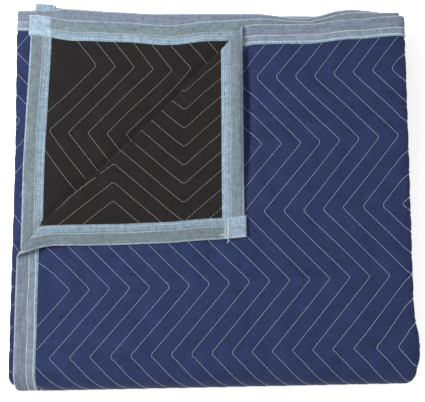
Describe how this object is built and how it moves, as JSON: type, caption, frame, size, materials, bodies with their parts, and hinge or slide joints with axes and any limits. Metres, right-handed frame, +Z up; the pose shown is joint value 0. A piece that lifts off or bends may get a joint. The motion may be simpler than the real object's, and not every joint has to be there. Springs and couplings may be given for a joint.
{
  "type": "moving blanket",
  "caption": "Quilted moving blanket folded into a flat stack, with one corner of its top layer turned back over the top to show the dark reverse, and tape-bound edges.",
  "frame": {"origin": "centre of the folded stack's bounding box, on its underside", "axes": "+Z up through the layers, +X along the front fold towards the folded right side, +Y towards the bound back edges"},
  "size_m": [0.5072, 0.5014, 0.065],
  "materials": {
    "blue_cloth": "matte",
    "black_cloth": "matte",
    "grey_tape": "matte"
  },
  "bodies": {
    "root": {"blue_face": "blue_cloth", "black_face": "black_cloth", "binding_left": "grey_tape", "binding_back": "grey_tape", "binding_right": "grey_tape", "binding_front": "grey_tape"}
  },
  "joints": []
}
